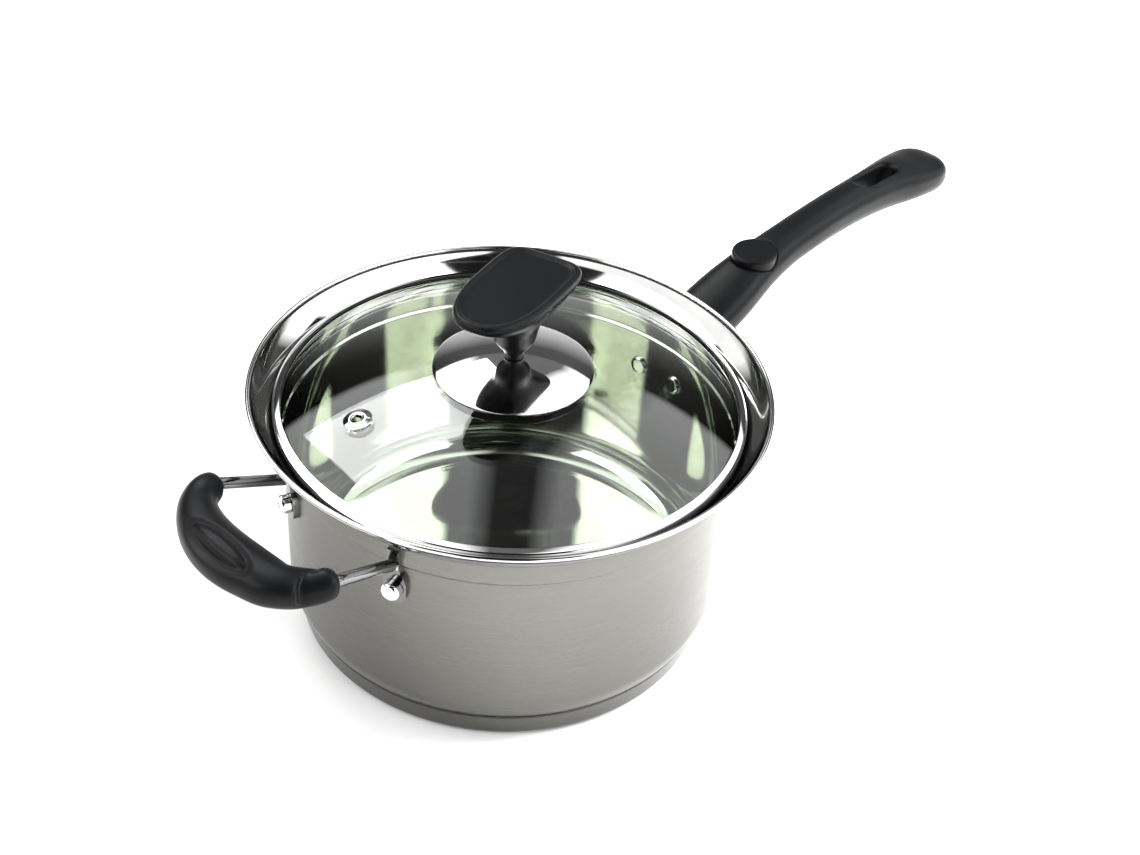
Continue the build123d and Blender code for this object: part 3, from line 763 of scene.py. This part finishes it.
def make_world():
    """Light tent, fixed in the room: a bright top with a dark gap, bright low sides, a brighter
    panel above each side, and a dim belt. Only the camera sees an even backdrop in its place."""
    world = bpy.data.worlds.new("tent")
    bpy.context.scene.world = world
    world.use_nodes = True
    n = Nodes(world.node_tree)
    background = world.node_tree.nodes["Background"]
    x, y, z = n.split(n.add("ShaderNodeTexCoord").outputs["Generated"])
    c, s = cos(VIEW_AZIMUTH), sin(VIEW_AZIMUTH)

    # z is the sine of the elevation, ahead and across are the level parts of a direction along
    # and across the view's azimuth, and facing is the cosine of its turn from that azimuth.
    ahead = n.math("ADD", n.math("MULTIPLY", x, c), n.math("MULTIPLY", y, s))
    across = n.math("SUBTRACT", n.math("MULTIPLY", x, s), n.math("MULTIPLY", y, c))
    level = n.math("SQRT", n.math("SUBTRACT", 1.0, n.math("MULTIPLY", z, z)))
    facing = n.math("DIVIDE", ahead, n.math("MAXIMUM", level, 0.02))

    gap = n.math("SUBTRACT", n.math("ABSOLUTE", across), n.span(z, 0.60, 0.88, 0.22, 0.05))
    top = n.fold("MULTIPLY", n.span(z, BELT - 0.008, BELT + 0.008, 0, 1),
                 n.span(ahead, -0.16, 0.0, 0, 1), n.span(gap, 0.0, 0.08, 0.05, 1), TOP_LIGHT)
    sides = n.fold("MULTIPLY", n.window(facing, (-0.975, -0.955), (0.60, 0.45)),
                   n.span(z, 0.43, 0.40, 0, 1), n.span(across, -0.6, 0.6, 0.8, 1.25), SIDE_LIGHT)
    panels = n.fold("MULTIPLY", n.window(facing, (-0.80, -0.74), (0.30, 0.18)),
                    n.window(z, (0.40, 0.43), (0.82, 0.78)), PANEL_LIGHT)
    levels = ((0.0, 0.75), (0.2, 0.50), (0.42, 0.10), (1.0, 0.07))
    belt = n.ramp(z, [(height, (grey,) * 3) for height, grey in levels])
    belt = n.math("MULTIPLY", belt, n.span(facing, 0.82, 0.95, 0.16, 1))
    tent = n.fold("ADD", top, sides, belt, panels)

    to_camera = n.add("ShaderNodeLightPath").outputs["Is Camera Ray"]
    backdrop = n.math("MULTIPLY", n.math("SUBTRACT", BACKDROP, tent), to_camera)
    light = n.math("ADD", tent, backdrop)
    n.link(n.combine(light, light, light), background.inputs["Color"])
    background.inputs["Strength"].default_value = TENT_STRENGTH


def area_light(name, place, target, size, power):
    """Rectangular softbox aimed at a point."""
    data = bpy.data.lights.new(name, "AREA")
    data.shape = "RECTANGLE"
    data.size, data.size_y = size
    data.energy = power
    light = bpy.data.objects.new(name, data)
    light.location = place
    light.rotation_euler = (Vector(target) - Vector(place)).to_track_quat("-Z", "Y").to_euler()
    bpy.context.scene.collection.objects.link(light)
    return light


def around(azimuth, elevation, distance):
    """Point in metres at a turn, in degrees, from the side on which the camera stands."""
    angle = VIEW_AZIMUTH + pi + radians(azimuth)
    lift = radians(elevation)
    return Vector((cos(angle) * cos(lift), sin(angle) * cos(lift), sin(lift))) * distance


def make_camera():
    data = bpy.data.cameras.new("camera")
    data.sensor_width = 36.0
    data.lens = CAMERA_LENS
    data.clip_start, data.clip_end = 0.02, 50
    camera = bpy.data.objects.new("camera", data)
    right = Vector((LOOK.y, -LOOK.x, 0)).normalized()
    up = right.cross(LOOK).normalized()
    turned_right = right * cos(CAMERA_ROLL) + up * sin(CAMERA_ROLL)
    turned_up = up * cos(CAMERA_ROLL) - right * sin(CAMERA_ROLL)
    matrix = Matrix((turned_right, turned_up, -LOOK.normalized())).transposed().to_4x4()
    matrix.translation = CAMERA_PLACE
    camera.matrix_world = matrix
    bpy.context.scene.collection.objects.link(camera)
    bpy.context.scene.camera = camera


def make_lights():
    """One softbox that is mirrored in the steel and glass, and two fills that aren't."""
    aim = (0, 0, 0.08)
    area_light("key", around(-150, 50, 1.6), aim, (0.7, 0.5), 7)
    fills = (("overhead", (0, 0, 2.2), 1.8, 5), ("right_fill", around(112, 42, 1.0), 0.7, 32))
    for name, place, size, power in fills:
        fill = area_light(name, place, aim, (size, size), power)
        fill.visible_camera = fill.visible_glossy = fill.visible_transmission = False


make_floor()
make_world()
make_lights()
make_camera()
bpy.context.scene.view_settings.view_transform = "Standard"
bpy.context.scene.view_settings.look = "None"
